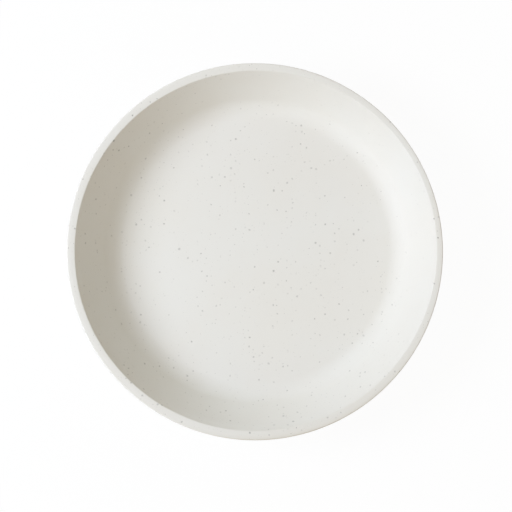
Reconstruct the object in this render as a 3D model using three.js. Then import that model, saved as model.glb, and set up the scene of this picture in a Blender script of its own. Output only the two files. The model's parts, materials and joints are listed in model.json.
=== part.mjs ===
// A deep plate in speckled stoneware: a clay body on a luted foot ring, with one coat of glaze
// poured inside, one dipped outside and one brushed inside the foot ring.
// Millimetres, +Z up, with the origin on the table under the middle of the plate.

import { Group, LatheGeometry, MathUtils, Mesh, MeshStandardMaterial, Vector2 } from "three";

// Finished plate, with its glaze
const rimDiameter = 210;
const wellDepth = 27; // from the top of the rim to the well floor
const floorThickness = 5;
const wallThickness = 4.3; // square to the wall
const wallSlope = 57; // degrees above the table
const wellCornerRadius = 14; // well floor into wall
const heelRadius = 18; // underside into wall
const rimInnerRadius = 0.8;
const rimOuterRadius = 1;

// Foot ring, in bare clay
const footHeight = 4.5; // from the table to the glazed underside
const footWidth = 5; // at the table
const footRootWidth = 8; // at the underside
const footSetBack = 4; // from the start of the heel's curve
const footEdgeRadius = 1.1;

// Glaze
const glazeThickness = 0.45;
const bareBand = 2; // clay left bare on each side of the foot ring
const bondGap = 0.02; // between the faces of glaze and clay, so that they meet and don't cross

// Facets
const turnSegments = 64; // around the axis
const wideCornerSteps = 6; // along the well corner and the heel
const edgeSteps = 4; // along each rim and foot edge

// Finishes
const bareClay = { color: 0xc9b59a, roughness: 0.9, metalness: 0 };
const satinGlaze = { color: 0xe4e2dc, roughness: 0.55, metalness: 0 };

// Levels and radii that follow from the sizes
const slope = MathUtils.degToRad(wallSlope);
const baseZ = footHeight;
const wellZ = baseZ + floorThickness;
const rimZ = wellZ + wellDepth;
const clayBaseZ = baseZ + glazeThickness;
const coatDepth = glazeThickness - bondGap;

// The rim's outer edge is sharp on paper, this far outside the finished diameter
const outerRimRadius = rimDiameter / 2 + rimOuterRadius * (1 / Math.tan(slope / 2) - 1);
const innerRimRadius = outerRimRadius - wallThickness / Math.sin(slope);
const rimMiddleRadius = (innerRimRadius + outerRimRadius) / 2;

// The underside is flat as far out as the start of the heel's curve
const flatBaseRadius = outerWallRadius(baseZ, 0) - heelRadius * Math.tan(slope / 2);
const footRootOuter = flatBaseRadius - footSetBack;
const footRootInner = footRootOuter - footRootWidth;
const footTaper = (footRootWidth - footWidth) / 2;

// Radius of the inner and outer wall at a height, at a depth below the finished surface
function innerWallRadius(z, depth) {
  return innerRimRadius - (rimZ - z) / Math.tan(slope) + depth / Math.sin(slope);
}

function outerWallRadius(z, depth) {
  return outerRimRadius - (rimZ - z) / Math.tan(slope) - depth / Math.sin(slope);
}

function corner(radius, z, rounding = 0, steps = 0) {
  return { at: new Vector2(radius, z), rounding, steps };
}

// Points of the arc that rounds a corner between two straight edges
function roundedCorner(before, { at, rounding, steps }, after) {
  const entering = at.clone().sub(before.at).normalize();
  const leaving = after.at.clone().sub(at).normalize();
  const turn = Math.atan2(entering.cross(leaving), entering.dot(leaving));
  const start = at.clone().addScaledVector(entering, -rounding * Math.tan(Math.abs(turn) / 2));
  const inward = new Vector2(-entering.y, entering.x).multiplyScalar(Math.sign(turn));
  const centre = start.clone().addScaledVector(inward, rounding);
  const angles = Array.from({ length: steps + 1 }, (_, i) => (turn * i) / steps);
  return angles.map((angle) => start.clone().rotateAround(centre, angle));
}

function roundedPath(corners) {
  return corners.flatMap((here, i) =>
    here.rounding > 0 ? roundedCorner(corners[i - 1], here, corners[i + 1]) : [here.at],
  );
}

// Section of the outside from the edge of its glaze up to the middle of the rim
function outsidePath(depth) {
  const underside = baseZ + depth;
  const top = rimZ - depth;
  return roundedPath([
    corner(footRootOuter + bareBand, underside),
    corner(outerWallRadius(underside, depth), underside, heelRadius - depth, wideCornerSteps),
    corner(outerWallRadius(top, depth), top, rimOuterRadius - depth, edgeSteps),
    corner(rimMiddleRadius, top),
  ]);
}

// Section of the inside from the middle of the rim down to the middle of the well floor
function insidePath(depth) {
  const top = rimZ - depth;
  const floor = wellZ - depth;
  return roundedPath([
    corner(rimMiddleRadius, top),
    corner(innerWallRadius(top, depth), top, rimInnerRadius - depth, edgeSteps),
    corner(innerWallRadius(floor, depth), floor, wellCornerRadius + depth, wideCornerSteps),
    corner(0, floor),
  ]);
}

// A section turned about the plate's axis
function turned(name, section, finish) {
  const geometry = new LatheGeometry(section, turnSegments).rotateX(Math.PI / 2);
  const mesh = new Mesh(geometry, new MeshStandardMaterial(finish));
  mesh.name = name;
  return mesh;
}

function stonewareBody() {
  const outside = outsidePath(glazeThickness);
  const inside = insidePath(glazeThickness);
  const section = [new Vector2(0, clayBaseZ), ...outside, ...inside.slice(1)];
  return turned("stoneware_body", section, bareClay);
}

function footRing() {
  const section = roundedPath([
    corner(footRootInner, clayBaseZ),
    corner(footRootInner + footTaper, 0, footEdgeRadius, edgeSteps),
    corner(footRootOuter - footTaper, 0, footEdgeRadius, edgeSteps),
    corner(footRootOuter, clayBaseZ),
    corner(footRootInner, clayBaseZ),
  ]);
  return turned("foot_ring", section, bareClay);
}

function insideGlaze() {
  const section = [...insidePath(coatDepth).reverse(), ...insidePath(0)];
  return turned("inside_glaze", section, satinGlaze);
}

function outsideGlaze() {
  const surface = outsidePath(0);
  const section = [...surface, ...outsidePath(coatDepth).reverse(), surface[0]];
  return turned("outside_glaze", section, satinGlaze);
}

function baseGlaze() {
  const edgeRadius = footRootInner - bareBand;
  const section = [
    new Vector2(0, baseZ),
    new Vector2(edgeRadius, baseZ),
    new Vector2(edgeRadius, baseZ + coatDepth),
    new Vector2(0, baseZ + coatDepth),
  ];
  return turned("base_glaze", section, satinGlaze);
}

const plate = new Group();
plate.add(stonewareBody(), footRing(), insideGlaze(), outsideGlaze(), baseGlaze());

export default plate;
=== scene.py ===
# Looks of a deep plate in speckled stoneware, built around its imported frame.
# Metres, +Z up: the plate stands on the origin and its axis is Z.

import json
import math

import bmesh
import bpy
from mathutils import Matrix, Vector, noise


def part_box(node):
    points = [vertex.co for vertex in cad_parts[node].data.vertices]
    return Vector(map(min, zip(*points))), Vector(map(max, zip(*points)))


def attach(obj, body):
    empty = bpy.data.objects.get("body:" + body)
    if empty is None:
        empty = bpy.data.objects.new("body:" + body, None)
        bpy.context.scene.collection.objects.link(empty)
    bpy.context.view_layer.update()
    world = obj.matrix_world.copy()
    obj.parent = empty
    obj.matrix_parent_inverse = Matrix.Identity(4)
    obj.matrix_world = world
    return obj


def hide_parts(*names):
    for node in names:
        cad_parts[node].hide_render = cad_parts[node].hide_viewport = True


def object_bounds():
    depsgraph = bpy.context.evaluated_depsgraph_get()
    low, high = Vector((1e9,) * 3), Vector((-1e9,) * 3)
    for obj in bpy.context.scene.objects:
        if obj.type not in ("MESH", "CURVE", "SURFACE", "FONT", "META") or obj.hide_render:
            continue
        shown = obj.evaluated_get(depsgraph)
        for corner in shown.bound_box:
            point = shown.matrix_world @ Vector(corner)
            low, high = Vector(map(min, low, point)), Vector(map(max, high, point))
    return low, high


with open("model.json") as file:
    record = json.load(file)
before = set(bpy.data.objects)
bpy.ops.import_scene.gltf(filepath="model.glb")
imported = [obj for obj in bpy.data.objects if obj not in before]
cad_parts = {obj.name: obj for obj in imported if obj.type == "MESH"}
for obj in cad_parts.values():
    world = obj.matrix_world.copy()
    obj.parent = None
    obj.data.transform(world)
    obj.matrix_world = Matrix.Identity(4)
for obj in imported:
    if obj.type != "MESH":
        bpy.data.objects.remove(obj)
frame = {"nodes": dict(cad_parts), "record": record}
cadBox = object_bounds()
mm = 0.001
print("frame loaded:", ", ".join(sorted(frame["nodes"])))


# Form of the plate, which every piece follows
plate = {
    "wallSlope": 57,            # degrees above the table
    "wall": 4.3 * mm,           # square to the wall
    "wellCorner": 14 * mm,      # well floor into wall
    "heel": 18 * mm,            # underside into wall
    "rimInnerEdge": 0.8 * mm,
    "rimOuterEdge": 0.6 * mm,
    "coat": 0.45 * mm,          # each coat of glaze
    "bond": 0.02 * mm,          # between coat and clay
    "segments": 384,            # round the axis
    "spacing": 2.0 * mm,        # between rings on straight stretches
    "arcStep": 4,               # degrees between rings on rounded corners
    "fewestSteps": 4,           # in the smallest of those corners
    "sharpFrom": 40,            # degrees between faces that meet in a crisp edge
}

slope = math.radians(plate["wallSlope"])
halfRim = plate["wall"] / math.sin(slope) / 2
coatDepth = plate["coat"] - plate["bond"]

# Levels and radii that the frame gives
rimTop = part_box("outside_glaze")[1].z
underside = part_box("outside_glaze")[0].z
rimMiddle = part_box("inside_glaze")[1].x
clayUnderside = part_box("foot_ring")[1].z
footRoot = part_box("foot_ring")[1].x
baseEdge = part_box("base_glaze")[1].x
wellFloor = next(m["pos_m"][2] for m in frame["record"]["mounts"] if m["name"] == "well_floor")

# Where the straight part of the inner wall starts
wallFoot = wellFloor + plate["wellCorner"] * (1 - math.cos(slope))


# Radius of the inner and the outer wall at a height, at a depth below the finished surface
def innerWall(z, depth=0.0):
    return rimMiddle - halfRim - (rimTop - z) / math.tan(slope) + depth / math.sin(slope)


def outerWall(z, depth=0.0):
    return rimMiddle + halfRim - (rimTop - z) / math.tan(slope) - depth / math.sin(slope)


def corner(radius, z, rounding=0.0):
    return Vector((radius, z)), rounding


# Section through the corners given, with its rounded corners as arcs
def sectionOf(corners):
    points = []
    for i, (at, rounding) in enumerate(corners):
        if rounding == 0:
            points.append(at)
            continue
        entering = (at - corners[i - 1][0]).normalized()
        leaving = (corners[i + 1][0] - at).normalized()
        turn = math.atan2(entering.cross(leaving), entering.dot(leaving))
        start = at - entering * rounding * math.tan(abs(turn) / 2)
        centre = start + Vector((-entering.y, entering.x)) * math.copysign(rounding, turn)
        steps = max(plate["fewestSteps"], math.ceil(math.degrees(abs(turn)) / plate["arcStep"]))
        for k in range(steps + 1):
            points.append(centre + Matrix.Rotation(turn * k / steps, 2) @ (start - centre))
    return points


# The same section with more points along its long straight stretches
def spread(points, closed):
    filled = []
    for a, b in zip(points, points[1:] + points[:1] * closed):
        count = max(1, math.ceil((b - a).length / plate["spacing"]))
        filled += [a.lerp(b, k / count) for k in range(count)]
    return filled if closed else filled + points[-1:]


# Section of the outside from a radius on the underside up to the middle of the rim
def outsideSection(depth, fromRadius):
    low = underside + depth
    top = rimTop - depth
    return sectionOf([
        corner(fromRadius, low),
        corner(outerWall(low, depth), low, plate["heel"] - depth),
        corner(outerWall(top, depth), top, plate["rimOuterEdge"] - depth),
        corner(rimMiddle, top),
    ])


# Section of the inside from the middle of the rim down to the middle of the well floor
def insideSection(depth):
    low = wellFloor - depth
    top = rimTop - depth
    return sectionOf([
        corner(rimMiddle, top),
        corner(innerWall(top, depth), top, plate["rimInnerEdge"] - depth),
        corner(innerWall(low, depth), low, plate["wellCorner"] + depth),
        corner(0, low),
    ])


# Unevenness left by the maker's hand, largest at the rim
hand = {
    "drawnIn": 0.34 * mm,       # of the rim's crisp outer edge, all round
    "narrowing": 0.35 * mm,     # of the outline along its narrow way, on each side
    "narrowToward": 18,         # degrees from +X to that way
    "thickRim": 0.32 * mm,      # more wall at the rim, all round
    "thickSide": 0.71 * mm,     # more wall on one side than on average
    "thickToward": -137,        # degrees from +X to that side
    "thickEnds": 0.49 * mm,     # more wall at the ends of the wide way
    "rimDip": 0.2 * mm,         # fall of the rim between its two high places
    "dipToward": -32,           # degrees from +X to where it is lowest
    "wallBow": 0.2 * mm,        # outward, half way up the wall
    "rimCrown": 0.11 * mm,      # fall of the rim's top over half its width
    "crownAt": 2.1 * mm,        # from the middle of the rim out to its highest line
    "crownDepth": 4 * mm,       # below which the crown isn't felt
    "swell": 0.08 * mm,         # soft rise and fall of all surfaces
    "swellSize": 40 * mm,
    "swellSeed": 5,
}
noise.seed_set(hand["swellSeed"])    # the same swell in each run


def ease(x):
    x = min(max(x, 0.0), 1.0)
    return x * x * (3 - 2 * x)


# Where a point of the true form ends up on the real plate
def shapedByHand(radius, angle, z):
    climb = ease((z - underside) / (rimTop - underside))
    lift = ease((z - underside) / (wellFloor - underside))
    inClimb = lift * ease(radius / innerWall(wellFloor))    # the inner wall moves as a whole
    inside = ease((outerWall(z) - radius) / (outerWall(z) - innerWall(z)))
    fromNarrow = angle - math.radians(hand["narrowToward"])
    sides = math.cos(2 * fromNarrow)    # 1 along the narrow way, -1 along the wide one
    outerMove = -hand["drawnIn"] - hand["narrowing"] * (1 + sides) / 2 - hand["swell"]
    innerMove = (hand["thickEnds"] - hand["narrowing"] / 2) * sides - hand["thickRim"]
    innerMove -= hand["thickSide"] * math.cos(angle - math.radians(hand["thickToward"]))

    onRim = ease(1 - (rimTop - z) / hand["crownDepth"])
    across = (radius - rimMiddle - hand["crownAt"]) / halfRim
    dip = math.cos(2 * (angle - math.radians(hand["dipToward"])))
    upWall = min(max((z - wallFoot) / (rimTop - wallFoot), 0.0), 1.0)
    radius += innerMove * inside * inClimb + outerMove * (1 - inside) * climb
    radius += 4 * hand["wallBow"] * upWall * (1 - upWall)
    z -= onRim * hand["rimCrown"] * across * across
    z -= climb * (hand["rimDip"] * (1 + dip) / 2 + hand["swell"])

    spot = Vector((radius * math.cos(angle), radius * math.sin(angle), z))
    return spot + noise.noise_vector(spot / hand["swellSize"]) * hand["swell"] * lift


# Stretch of the rim, towards -Y, darkened with clay colour as painted shade, most of all on its
# outer edge where the rounding turns away from the light
rimEdgeShade = {
    "toward": -78,              # degrees from +X to its middle
    "spread": 55,               # degrees from there to its ends
    "top": 0.09,                # how much painted shade lies on the rim's top
    "edge": 1.0,                # and on its outer edge
    "reach": 1.3 * mm,          # from that edge
}


# 1 at an angle in degrees from +X, falling to 0 at a spread on either side
def nearAngle(angle, toward, spread):
    off = math.remainder(angle - math.radians(toward), 2 * math.pi)
    return ease(1 - abs(off) / math.radians(spread))


# Share of painted shade at a point of the section and an angle, carried with the thin glaze value
def rimShadeAt(point, angle):
    rounding = plate["rimOuterEdge"]
    outermost = outerWall(rimTop) - rounding * (1 / math.tan(slope / 2) - 1)
    away = math.hypot(point.x - outermost, point.y - rimTop + rounding)
    edge = ease(1 - away / rimEdgeShade["reach"])
    top = ease(1 - (rimTop - point.y) / rimEdgeShade["reach"])
    paintedShade = max(rimEdgeShade["top"] * top, rimEdgeShade["edge"] * edge)
    return paintedShade * nearAngle(angle, rimEdgeShade["toward"], rimEdgeShade["spread"])


# How strongly grains show through the glaze, against 1 on the well floor
grainShow = {
    "onRim": 1.4,               # on the rim's top, where the glaze is thin
    "rimReach": 1.5 * mm,       # below that top
    "deep": 0.2,                # on the brightly lit side of the inner wall, where the grains are faded as painted light
    "deepToward": 35,           # degrees from +X to the middle of that side
    "deepSpread": 120,          # degrees from there to its ends
    "deepFullness": 1.6,        # above 1, the side is fully faded for longer
}


# Grains fade on the lit side of the inner wall as painted light, and show more on the rim's top
def shownAt(point, angle):
    onRim = ease(1 - (rimTop - point.y) / grainShow["rimReach"])
    inside = ease((outerWall(point.y) - point.x) / (2 * halfRim))
    deep = ease((point.y - wellFloor) / (wallFoot - wellFloor)) * inside
    onSide = nearAngle(angle, grainShow["deepToward"], grainShow["deepSpread"])
    deep *= ease(grainShow["deepFullness"] * onSide)
    shown = 1 + (grainShow["deep"] - 1) * deep
    return shown + (grainShow["onRim"] - shown) * onRim


# Turns a section about the axis, from the underside up the outside and back over the top.
# edgeShare(point) is how far a point belongs to a glaze line, edgeShift(angle) how far that strays.
def turned(look, section, edgeShare=None, edgeShift=None):
    segments = plate["segments"]
    angles = [2 * math.pi * k / segments for k in range(segments)]
    closed = section[0].x > 0
    form = bmesh.new()
    thinAndShade = form.verts.layers.float.new("thinGlazeAndShade")
    shown = form.verts.layers.float.new("grainShow")
    rings = []
    for point in spread(section, closed):
        share = edgeShare(point) if edgeShare else 0.0
        ring = []
        for angle in angles if point.x > 0 else angles[:1]:
            shift = share * edgeShift(angle) if share else 0.0
            vertex = form.verts.new(shapedByHand(point.x + shift, angle, point.y))
            # thin glaze along the glaze lines and painted shade on the rim's edge share one value
            vertex[thinAndShade] = max(share, rimShadeAt(point, angle))
            vertex[shown] = shownAt(point, angle)
            ring.append(vertex)
        rings.append(ring)
    for lower, upper in zip(rings, rings[1:] + rings[:1] * closed):
        for k in range(segments):
            after = (k + 1) % segments
            around = [lower[k % len(lower)], lower[after % len(lower)],
                      upper[after % len(upper)], upper[k % len(upper)]]
            form.faces.new(dict.fromkeys(around)).smooth = True    # only three corners at the axis
    mesh = bpy.data.meshes.new(look["name"])
    form.to_mesh(mesh)
    form.free()
    mesh.set_sharp_from_angle(angle=math.radians(plate["sharpFrom"]))
    mesh.materials.append(look["material"])
    piece = bpy.data.objects.new(look["name"], mesh)
    bpy.context.scene.collection.objects.link(piece)
    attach(piece, "root")
    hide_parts(look["node"])
    print("turned", look["name"], "with", len(mesh.vertices), "points")


# Gives a socket a value, or links it to another node's output
def feed(tree, socket, value):
    if isinstance(value, bpy.types.NodeSocket):
        tree.links.new(value, socket)
    elif isinstance(value, tuple) and socket.type == "RGBA":
        socket.default_value = (*value, 1)
    else:
        socket.default_value = value


def addNode(tree, kind, x, y, inputs=None, **settings):
    node = tree.nodes.new(kind)
    node.location = (x, y)
    for name, value in settings.items():
        setattr(node, name, value)
    for name, value in (inputs or {}).items():
        feed(tree, node.inputs[name], value)
    return node


def calculate(tree, x, y, operation, a, b):
    return addNode(tree, "ShaderNodeMath", x, y, {0: a, 1: b}, operation=operation).outputs[0]


# Lays one colour over another by a mask; 6, 7 and 2 are the mix node's colour sockets
def layColour(tree, x, y, mask, under, over):
    mix = addNode(tree, "ShaderNodeMix", x, y, {0: mask}, data_type="RGBA")
    feed(tree, mix.inputs[6], under)
    feed(tree, mix.inputs[7], over)
    return mix.outputs[2]


# A value or mask from 0 to 1, brought between two others
def bringBetween(tree, x, y, value, low, high):
    inputs = {"Value": value, "To Min": low, "To Max": high}
    return addNode(tree, "ShaderNodeMapRange", x, y, inputs).outputs["Result"]


# A value that each point of the mesh carries
def carriedValue(tree, x, y, name):
    return addNode(tree, "ShaderNodeAttribute", x, y, attribute_name=name).outputs["Fac"]


def newGroup(name, inputs, outputs):
    tree = bpy.data.node_groups.new(name, "ShaderNodeTree")
    for socket, kind in inputs.items():
        tree.interface.new_socket(socket, in_out="INPUT", socket_type=kind)
    for socket in outputs:
        tree.interface.new_socket(socket, in_out="OUTPUT", socket_type="NodeSocketFloat")
    given = addNode(tree, "NodeGroupInput", -900, 0).outputs
    results = addNode(tree, "NodeGroupOutput", 900, 0).inputs
    return tree, given, results


# Grains that melt into specks, gathered in loose drifts
grainForm = {
    "ragged": 0.7,              # fineness of their outline's noise, times their radius
    "drift": 0.16,              # fineness of the drifts' noise, times the spacing
    "scarceAt": 0.35,           # that noise between drifts
    "denseAt": 0.65,            # and in them
    "scarceSize": 0.55,         # size of the grains between drifts, against 1 in them
    "core": 0.1,                # part of a grain's radius that is fully dark
}


# Cells in space, each with one grain of its own size
def grainsGroup():
    tree, given, results = newGroup(
        "grains",
        {"Vector": "NodeSocketVector", "Spacing": "NodeSocketFloat", "Radius": "NodeSocketFloat"},
        ["Mask", "Depth"],
    )
    fineness = calculate(tree, -700, -250, "DIVIDE", grainForm["ragged"], given["Radius"])
    wander = addNode(tree, "ShaderNodeTexNoise", -520, -200,
                     {"Vector": given["Vector"], "Scale": fineness, "Detail": 1})
    centred = addNode(tree, "ShaderNodeVectorMath", -340, -200,
                      {0: wander.outputs["Color"], 1: (0.5, 0.5, 0.5)}, operation="SUBTRACT")
    sway = addNode(tree, "ShaderNodeVectorMath", -180, -200,
                   {0: centred.outputs[0], "Scale": given["Radius"]}, operation="SCALE")
    spot = addNode(tree, "ShaderNodeVectorMath", -20, 0,
                   {0: given["Vector"], 1: sway.outputs[0]}, operation="ADD")
    density = calculate(tree, -20, -300, "DIVIDE", 1, given["Spacing"])
    cells = addNode(tree, "ShaderNodeTexVoronoi", 140, 0,
                    {"Vector": spot.outputs[0], "Scale": density})
    dice = addNode(tree, "ShaderNodeSeparateColor", 320, -160, {0: cells.outputs["Color"]})
    away = calculate(tree, 320, 80, "MULTIPLY", cells.outputs["Distance"], given["Spacing"])
    sparse = calculate(tree, -340, -450, "DIVIDE", grainForm["drift"], given["Spacing"])
    drift = addNode(tree, "ShaderNodeTexNoise", -20, -450,
                    {"Vector": given["Vector"], "Scale": sparse, "Detail": 1})
    gathered = addNode(tree, "ShaderNodeMapRange", 140, -450, {
        "Value": drift.outputs[0],
        "From Min": grainForm["scarceAt"], "From Max": grainForm["denseAt"],
        "To Min": grainForm["scarceSize"], "To Max": 1.0,
    })
    largest = calculate(tree, 320, -450, "MULTIPLY", gathered.outputs["Result"], given["Radius"])
    size = calculate(tree, 500, -160, "MULTIPLY", dice.outputs["Red"], largest)
    core = calculate(tree, 620, -300, "MULTIPLY", size, grainForm["core"])
    mask = addNode(tree, "ShaderNodeMapRange", 740, 0,
                   {"Value": away, "From Min": size, "From Max": core},
                   interpolation_type="SMOOTHSTEP")
    tree.links.new(mask.outputs["Result"], results["Mask"])
    tree.links.new(dice.outputs["Green"], results["Depth"])
    return tree


# Soft patches where the kiln left the surface a little lighter or darker
def kilnPatchesGroup():
    tree, given, results = newGroup(
        "kilnPatches", {"Vector": "NodeSocketVector", "Size": "NodeSocketFloat"}, ["Patches"])
    fineness = calculate(tree, -600, -150, "DIVIDE", 1, given["Size"])
    cloud = addNode(tree, "ShaderNodeTexNoise", -300, 0,
                    {"Vector": given["Vector"], "Scale": fineness, "Detail": 4, "Roughness": 0.55})
    stretch = addNode(tree, "ShaderNodeMapRange", 0, 0,
                      {"Value": cloud.outputs[0], "From Min": 0.3, "From Max": 0.7},
                      interpolation_type="SMOOTHSTEP")
    tree.links.new(stretch.outputs["Result"], results["Patches"])
    return tree


# Fine unevenness of a fired surface, as a height for bump
def firedSkinGroup():
    tree, given, results = newGroup(
        "firedSkin", {"Vector": "NodeSocketVector", "Grain": "NodeSocketFloat"}, ["Height"])
    fineness = calculate(tree, -600, -150, "DIVIDE", 1, given["Grain"])
    skin = addNode(tree, "ShaderNodeTexNoise", -300, 0,
                   {"Vector": given["Vector"], "Scale": fineness, "Detail": 3, "Roughness": 0.6})
    tree.links.new(skin.outputs[0], results["Height"])
    return tree


grains = grainsGroup()
kilnPatches = kilnPatchesGroup()
firedSkin = firedSkinGroup()
print("node groups ready")


# Fired surface of glaze or clay: patches of two colours, grains of several kinds and a fine skin
def firedMaterial(name, look):
    material = bpy.data.materials.new(name)
    material.use_nodes = True
    tree = material.node_tree
    shader = tree.nodes["Principled BSDF"]
    spot = addNode(tree, "ShaderNodeTexCoord", -1400, 0).outputs["Object"]

    patches = addNode(tree, "ShaderNodeGroup", -1200, 300, node_tree=kilnPatches)
    feed(tree, patches.inputs["Vector"], spot)
    feed(tree, patches.inputs["Size"], look["patchSize"])
    colour = layColour(tree, -1000, 300, patches.outputs["Patches"],
                       look["colour"], look["patchColour"])

    # Clay shows through where the glaze is thin at its lines on the underside; the same clay colour
    # is laid on the rim's outer edge as painted shade
    thinAndShade = carriedValue(tree, -1200, 500, "thinGlazeAndShade")
    thinAndShadeMask = calculate(tree, -1000, 500, "MULTIPLY", thinAndShade, look["thinAndShadeShare"])
    colour = layColour(tree, -800, 300, thinAndShadeMask, colour, look["thinAndShadeColour"])

    shown = carriedValue(tree, -1400, -300, "grainShow")
    for row, kind in enumerate(look["grains"]):
        x = -600 + 200 * row
        y = -250 * row
        grain = addNode(tree, "ShaderNodeGroup", -1200, y, node_tree=grains)
        feed(tree, grain.inputs["Vector"], spot)
        feed(tree, grain.inputs["Spacing"], kind["spacing"])
        feed(tree, grain.inputs["Radius"], kind["radius"])
        strength = bringBetween(tree, -1000, y, grain.outputs["Depth"], *kind["strength"])
        mask = calculate(tree, -800, y, "MULTIPLY", grain.outputs["Mask"], strength)
        mask = calculate(tree, -800, y - 100, "MULTIPLY", mask, shown)
        colour = layColour(tree, x, 300, mask, colour, kind["colour"])
    tree.links.new(colour, shader.inputs["Base Color"])

    roughness = bringBetween(tree, -300, 60, patches.outputs["Patches"], *look["roughness"])
    tree.links.new(roughness, shader.inputs["Roughness"])
    shader.inputs["Specular IOR Level"].default_value = look["specular"]

    skin = addNode(tree, "ShaderNodeGroup", -600, -600, node_tree=firedSkin)
    feed(tree, skin.inputs["Vector"], spot)
    feed(tree, skin.inputs["Grain"], look["skinGrain"])
    bump = addNode(tree, "ShaderNodeBump", -300, -600,
                   {"Distance": look["skinHeight"], "Height": skin.outputs["Height"]})
    tree.links.new(bump.outputs["Normal"], shader.inputs["Normal"])
    return material


speckledGlaze = {
    "colour": (0.77, 0.76, 0.717),
    "patchColour": (0.765, 0.747, 0.695),
    "patchSize": 60 * mm,
    # clay colour of thin glaze, also laid on the rim's edge as painted shade
    "thinAndShadeColour": (0.48, 0.42, 0.31),
    "thinAndShadeShare": 0.8,
    "grains": [
        {"spacing": 1.4 * mm, "radius": 0.38 * mm, "strength": (0.1, 0.5),
         "colour": (0.25, 0.24, 0.21)},
        {"spacing": 2.7 * mm, "radius": 1.05 * mm, "strength": (0.15, 0.6),
         "colour": (0.20, 0.19, 0.17)},
    ],
    "roughness": (0.58, 0.68),
    "specular": 0.4,
    "skinGrain": 0.9 * mm,
    "skinHeight": 0.012 * mm,
}

bareClay = {
    "colour": (0.55, 0.43, 0.30),
    "patchColour": (0.47, 0.34, 0.22),
    "patchSize": 25 * mm,
    "thinAndShadeColour": (0.55, 0.43, 0.30),
    "thinAndShadeShare": 0.0,
    "grains": [
        {"spacing": 1.1 * mm, "radius": 0.30 * mm, "strength": (0.2, 0.7),
         "colour": (0.68, 0.58, 0.45)},
        {"spacing": 2.0 * mm, "radius": 0.45 * mm, "strength": (0.4, 1.0),
         "colour": (0.13, 0.09, 0.06)},
    ],
    "roughness": (0.85, 0.95),
    "specular": 0.25,
    "skinGrain": 0.35 * mm,
    "skinHeight": 0.05 * mm,
}

clayFinish = firedMaterial("bareClay", bareClay)
insideFinish = firedMaterial("insideGlaze", speckledGlaze)
outsideFinish = firedMaterial("outsideGlaze", speckledGlaze)
print("materials ready")


clayBody = {
    "name": "clayBody",
    "node": "stoneware_body",
    "slot": "bare_clay",
    "material": clayFinish,
}


def makeClayBody(look):
    outside = outsideSection(plate["coat"], footRoot)
    inside = insideSection(plate["coat"])
    turned(look, [Vector((0, clayUnderside))] + outside + inside[1:])


footRing = {
    "name": "footRing",
    "node": "foot_ring",
    "slot": "bare_clay",
    "material": clayFinish,
    "rootWidth": 8.0 * mm,      # at the underside
    "width": 5.0 * mm,          # at the table
    "edge": 1.1 * mm,           # rounding of the edges it stands on
    "slip": 1.2 * mm,           # width of the smoothed slip where it was joined on
    "slipDepth": 0.12 * mm,
}


def makeFootRing(look):
    outer = footRoot
    inner = footRoot - look["rootWidth"]
    taper = (look["rootWidth"] - look["width"]) / 2
    slip = look["slip"]
    turned(look, sectionOf([
        corner(inner - slip, clayUnderside),
        corner(inner, clayUnderside - look["slipDepth"], slip),
        corner(inner + taper, 0, look["edge"]),
        corner(outer - taper, 0, look["edge"]),
        corner(outer, clayUnderside - look["slipDepth"], slip),
        corner(outer + slip, clayUnderside),
    ]))


insideCoat = {
    "name": "insideCoat",
    "node": "inside_glaze",
    "slot": "inside_glaze",
    "material": insideFinish,
}


def makeInsideCoat(look):
    turned(look, insideSection(coatDepth)[::-1] + insideSection(0))


# Edge of the glaze on the underside, wiped back from the foot ring
glazeLine = {
    "bead": 0.12 * mm,          # how far the glaze stands proud along it
    "beadWidth": 0.6 * mm,
    "softness": 0.6 * mm,       # rounding of the bead
    "stray": 0.6 * mm,          # in and out, round the plate
    "waves": 2.3,
    "fineWaves": 3,             # finer ones, so many times as close
    "fineShare": 0.5,           # and so far out, against the others
    "reach": 4.0 * mm,          # width of the glaze that follows it
}


# Section of the glaze at its edge, from the clay down; side is 1 if the glaze lies outside the line
def beadSection(edge, side):
    width = side * glazeLine["beadWidth"]
    low = underside - glazeLine["bead"]
    return sectionOf([
        corner(edge, underside + coatDepth),
        corner(edge, low, glazeLine["softness"] / 2),
        corner(edge + width, low, glazeLine["softness"]),
        corner(edge + 2 * width, underside, glazeLine["softness"]),
        corner(edge + 3 * width, underside),
    ])


# How far a glaze line strays at an angle; each line has its own run
def strayOf(run):
    def shift(angle):
        spot = Vector((math.cos(angle), math.sin(angle), run)) * glazeLine["waves"]
        fine = glazeLine["fineShare"] * noise.noise(glazeLine["fineWaves"] * spot)
        return glazeLine["stray"] * (noise.noise(spot) + fine)
    return shift


def shareOf(edge):
    return lambda point: ease(1 - abs(point.x - edge) / glazeLine["reach"])


outsideCoat = {
    "name": "outsideCoat",
    "node": "outside_glaze",
    "slot": "outside_glaze",
    "material": outsideFinish,
    "bareBand": 2.0 * mm,       # clay left bare beside the foot ring
    "run": 0.3,
}


def makeOutsideCoat(look):
    edge = footRoot + look["bareBand"]
    bead = beadSection(edge, 1)
    surface = outsideSection(0, bead[-1].x)[1:]
    back = outsideSection(coatDepth, edge)[:0:-1]
    turned(look, bead + surface + back, shareOf(edge), strayOf(look["run"]))


baseCoat = {
    "name": "baseCoat",
    "node": "base_glaze",
    "slot": "outside_glaze",
    "material": outsideFinish,
    "run": 7.7,
}


def makeBaseCoat(look):
    bead = beadSection(baseEdge, -1)[::-1]
    section = [Vector((0, underside))] + bead + [Vector((0, underside + coatDepth))]
    turned(look, section, shareOf(baseEdge), strayOf(look["run"]))


makeClayBody(clayBody)
makeFootRing(footRing)
makeInsideCoat(insideCoat)
makeOutsideCoat(outsideCoat)
makeBaseCoat(baseCoat)


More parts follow.
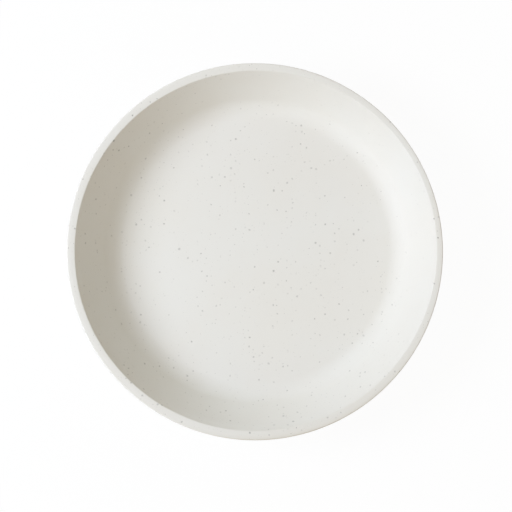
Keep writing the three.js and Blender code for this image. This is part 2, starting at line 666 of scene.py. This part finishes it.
# Mask of the rays that see the plain white background
def seenRays(tree, x, y):
    path = addNode(tree, "ShaderNodeLightPath", x, y).outputs
    sharp = calculate(tree, x + 180, y, "MAXIMUM", path["Is Camera Ray"], path["Is Glossy Ray"])
    return calculate(tree, x + 360, y, "MAXIMUM", sharp, path["Is Transmission Ray"])


studioFloor = {
    "size": 8.0,
    "colour": (0.9, 0.9, 0.9),
    "whiteShare": 0.95,         # plain white to the eye; the rest takes the shadow
    "whiteShareUnder": 0.4,     # the same close under the plate
    "underReach": 0.065,        # from the axis to where the one starts to pass into the other
}


def makeStudioFloor(look):
    material = bpy.data.materials.new("studioFloor")
    material.use_nodes = True
    tree = material.node_tree
    tree.nodes.clear()
    paper = addNode(tree, "ShaderNodeBsdfDiffuse", 0, 0, {"Color": look["colour"]})
    white = addNode(tree, "ShaderNodeEmission", 0, -150)
    spot = addNode(tree, "ShaderNodeTexCoord", -900, 450).outputs["Object"]
    away = addNode(tree, "ShaderNodeVectorMath", -720, 450, {0: spot}, operation="LENGTH")
    whiteShare = addNode(tree, "ShaderNodeMapRange", -540, 450, {
        "Value": away.outputs["Value"], "From Min": look["underReach"], "From Max": cadBox[1].x,
        "To Min": look["whiteShareUnder"], "To Max": look["whiteShare"],
    }, interpolation_type="SMOOTHSTEP").outputs["Result"]
    share = calculate(tree, 0, 200, "MULTIPLY", seenRays(tree, -600, 200), whiteShare)
    mix = addNode(tree, "ShaderNodeMixShader", 250, 0,
                  {0: share, 1: paper.outputs[0], 2: white.outputs[0]})
    addNode(tree, "ShaderNodeOutputMaterial", 450, 0, {"Surface": mix.outputs[0]})

    form = bmesh.new()
    bmesh.ops.create_grid(form, x_segments=1, y_segments=1, size=look["size"] / 2)
    mesh = bpy.data.meshes.new("studioFloor")
    form.to_mesh(mesh)
    form.free()
    mesh.materials.append(material)
    floor = bpy.data.objects.new("studioFloor", mesh)
    bpy.context.scene.collection.objects.link(floor)


# Warm room round the plate
studioRoom = {
    "horizon": (0.26, 0.19, 0.11),
    "overhead": (0.435, 0.385, 0.33),
}


def makeStudioRoom(look):
    world = bpy.data.worlds.new("studioRoom")
    bpy.context.scene.world = world
    world.use_nodes = True
    tree = world.node_tree
    tree.nodes.clear()
    toward = addNode(tree, "ShaderNodeTexCoord", -800, 0).outputs["Generated"]
    height = addNode(tree, "ShaderNodeSeparateXYZ", -600, 0, {0: toward}).outputs["Z"]
    colour = layColour(tree, -300, 0, height, look["horizon"], look["overhead"])
    room = addNode(tree, "ShaderNodeBackground", 0, 0, {"Color": colour})
    white = addNode(tree, "ShaderNodeBackground", 0, -150, {"Color": (1, 1, 1)})
    mix = addNode(tree, "ShaderNodeMixShader", 250, 0,
                  {0: seenRays(tree, -600, 300), 1: room.outputs[0], 2: white.outputs[0]})
    addNode(tree, "ShaderNodeOutputWorld", 450, 0, {"Surface": mix.outputs[0]})


# Azimuth runs from +X, the picture's right, towards +Y, its top
keyLamp = {
    "name": "keyLamp",
    "azimuth": 176,
    "elevation": 41,
    "distance": 1.3,
    "size": 0.65,
    "power": 15.2,
    "colour": (0.78, 0.86, 1.0),
}

frontFill = {
    "name": "frontFill",
    "azimuth": 270,
    "elevation": 36,
    "distance": 2.0,
    "size": 1.5,
    "power": 8.75,
    "colour": (0.94, 1.0, 1.0),
}

backFill = {
    "name": "backFill",
    "azimuth": 75,
    "elevation": 25,
    "distance": 2.0,
    "size": 1.5,
    "power": 6.3,
    "colour": (0.80, 0.97, 1.0),
}


def makeLamp(look):
    data = bpy.data.lights.new(look["name"], "AREA")
    data.shape = "DISK"
    data.size = look["size"]
    data.energy = look["power"]
    data.color = look["colour"]
    lamp = bpy.data.objects.new(look["name"], data)
    bpy.context.scene.collection.objects.link(lamp)
    lamp.rotation_euler = (0, math.radians(90 - look["elevation"]), math.radians(look["azimuth"]))
    lamp.location = lamp.rotation_euler.to_matrix() @ Vector((0, 0, look["distance"]))


makeStudioFloor(studioFloor)
makeStudioRoom(studioRoom)
for lampLook in (keyLamp, frontFill, backFill):
    makeLamp(lampLook)
print("studio ready")


photoCamera = {
    "frame": 512,                   # pixels on a side
    "plateCentre": (254.8, 251.7),  # where the plate's axis falls, in pixels from the top left
    "rimSpan": 377.7,               # pixels across the rim, front to back
    "height": 1.0,                  # above the rim
    "sensor": 36.0,
}


def makePhotoCamera(look):
    data = bpy.data.cameras.new("photoCamera")
    camera = bpy.data.objects.new("photoCamera", data)
    bpy.context.scene.collection.objects.link(camera)
    bpy.context.scene.camera = camera
    perPixel = (cadBox[1].y - cadBox[0].y) / look["rimSpan"]
    data.sensor_width = look["sensor"]
    data.lens = look["sensor"] * look["height"] / (look["frame"] * perPixel)
    x, y = look["plateCentre"]
    camera.location = ((look["frame"] / 2 - x) * perPixel, (y - look["frame"] / 2) * perPixel,
                       rimTop + look["height"])
    camera.rotation_euler = (0, 0, 0)    # straight down, +Y up in the picture


makePhotoCamera(photoCamera)
bpy.context.scene.view_settings.view_transform = "Standard"
print("camera ready")
